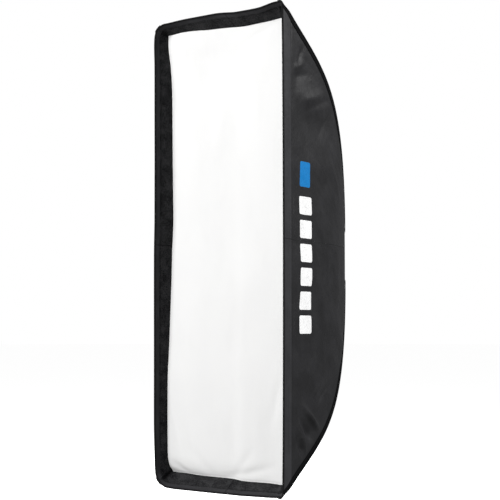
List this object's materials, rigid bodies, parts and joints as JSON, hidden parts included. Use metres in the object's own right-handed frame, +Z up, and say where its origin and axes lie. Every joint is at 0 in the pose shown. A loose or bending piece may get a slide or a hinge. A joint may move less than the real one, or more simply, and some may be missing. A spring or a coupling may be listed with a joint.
{
  "type": "strip softbox",
  "caption": "Tall narrow fabric softbox with a recessed white front diffuser, bowed corner rods and a rotating bayonet ring for a studio light.",
  "frame": {"origin": "centre of the bayonet insert's seat, where it meets the light's face", "axes": "+Y along the ring's axis towards the light, so the diffuser faces -Y; +Z up along the long side; +X to the right as seen from the front"},
  "size_m": [0.3074, 0.379, 0.9166],
  "materials": {
    "shell_fabric": "black coated nylon, satin",
    "loop_tape": "black loop pile, matte",
    "binding": "black woven tape, matte",
    "silver_lining": "silver reflective coating",
    "diffusion": "white translucent diffusion cloth, matte",
    "elastic": "black woven elastic",
    "spring_steel": "satin",
    "aluminium": "satin, turned",
    "black_metal": "black anodised, satin",
    "screw_steel": "satin",
    "knob_plastic": "black, matte",
    "nylon": "natural white, satin",
    "rubber": "black, matte"
  },
  "bodies": {
    "mount": {"bayonet_insert": "aluminium"},
    "box": {"top_panel": "shell_fabric", "bottom_panel": "shell_fabric", "right_panel_upper": "shell_fabric", "right_panel_lower": "shell_fabric", "left_panel_upper": "shell_fabric", "left_panel_lower": "shell_fabric", "front_hem_top": "shell_fabric", "lip_tape_top": "loop_tape", "lining_top": "silver_lining", "front_hem_bottom": "shell_fabric", "lip_tape_bottom": "loop_tape", "lining_bottom": "silver_lining", "front_hem_left": "shell_fabric", "lip_tape_left": "loop_tape", "lining_left": "silver_lining", "front_hem_right": "shell_fabric", "lip_tape_right": "loop_tape", "lining_right": "silver_lining", "corner_binding_upper_right": "binding", "corner_pocket_upper_right": "loop_tape", "rod_upper_right": "spring_steel", "rod_tip_upper_right": "rubber", "rod_ferrule_upper_right": "aluminium", "baffle_strap_upper_right": "elastic", "corner_binding_upper_left": "binding", "corner_pocket_upper_left": "loop_tape", "rod_upper_left": "spring_steel", "rod_tip_upper_left": "rubber", "rod_ferrule_upper_left": "aluminium", "baffle_strap_upper_left": "elastic", "corner_binding_lower_right": "binding", "corner_pocket_lower_right": "loop_tape", "rod_lower_right": "spring_steel", "rod_tip_lower_right": "rubber", "rod_ferrule_lower_right": "aluminium", "baffle_strap_lower_right": "elastic", "corner_binding_lower_left": "binding", "corner_pocket_lower_left": "loop_tape", "rod_lower_left": "spring_steel", "rod_tip_lower_left": "rubber", "rod_ferrule_lower_left": "aluminium", "baffle_strap_lower_left": "elastic", "inner_baffle": "diffusion", "speed_ring": "black_metal", "insert_clip_1": "black_metal", "clip_screw_1": "screw_steel", "insert_clip_2": "black_metal", "clip_screw_2": "screw_steel", "insert_clip_3": "black_metal", "clip_screw_3": "screw_steel"},
    "shoe": {"brake_shoe": "nylon"},
    "knob": {"lock_knob": "knob_plastic", "lock_screw": "screw_steel"},
    "diffuser": {"front_diffuser": "diffusion"},
    "flap_top": {"rear_flap_top": "shell_fabric"},
    "flap_bottom": {"rear_flap_bottom": "shell_fabric"},
    "flap_left": {"rear_flap_left": "shell_fabric"},
    "flap_right": {"rear_flap_right": "shell_fabric"}
  },
  "joints": [
    {"name": "softbox_rotation", "type": "hinge", "parent": "mount", "child": "box", "pos_m": [0, 0, 0], "axis": [0, 1, 0], "continuous": true},
    {"name": "brake_shoe_slide", "type": "slide", "parent": "box", "child": "shoe", "axis": [-1, 0, 0], "range_m": [0, 0.002]},
    {"name": "lock_knob_turn", "type": "hinge", "parent": "shoe", "child": "knob", "pos_m": [-0.085, -0.0105, 0], "axis": [-1, 0, 0], "range_deg": [0, 720]},
    {"name": "diffuser_pull", "type": "slide", "parent": "box", "child": "diffuser", "axis": [0, -1, 0], "range_m": [0, 0.15]},
    {"name": "rear_flap_top_hinge", "type": "hinge", "parent": "box", "child": "flap_top", "pos_m": [0, -0.0171, 0.078], "axis": [1, 0, 0], "range_deg": [0, 120]},
    {"name": "rear_flap_bottom_hinge", "type": "hinge", "parent": "box", "child": "flap_bottom", "pos_m": [0, -0.0171, -0.078], "axis": [-1, 0, 0], "range_deg": [0, 120]},
    {"name": "rear_flap_right_hinge", "type": "hinge", "parent": "box", "child": "flap_right", "pos_m": [0.078, -0.0171, 0], "axis": [0, 0, -1], "range_deg": [0, 120]},
    {"name": "rear_flap_left_hinge", "type": "hinge", "parent": "box", "child": "flap_left", "pos_m": [-0.078, -0.0171, 0], "axis": [0, 0, 1], "range_deg": [0, 120]}
  ],
  "couplings": [
    {"joint": "brake_shoe_slide", "follows": "lock_knob_turn", "m_per_rad": 0.00015915}
  ]
}
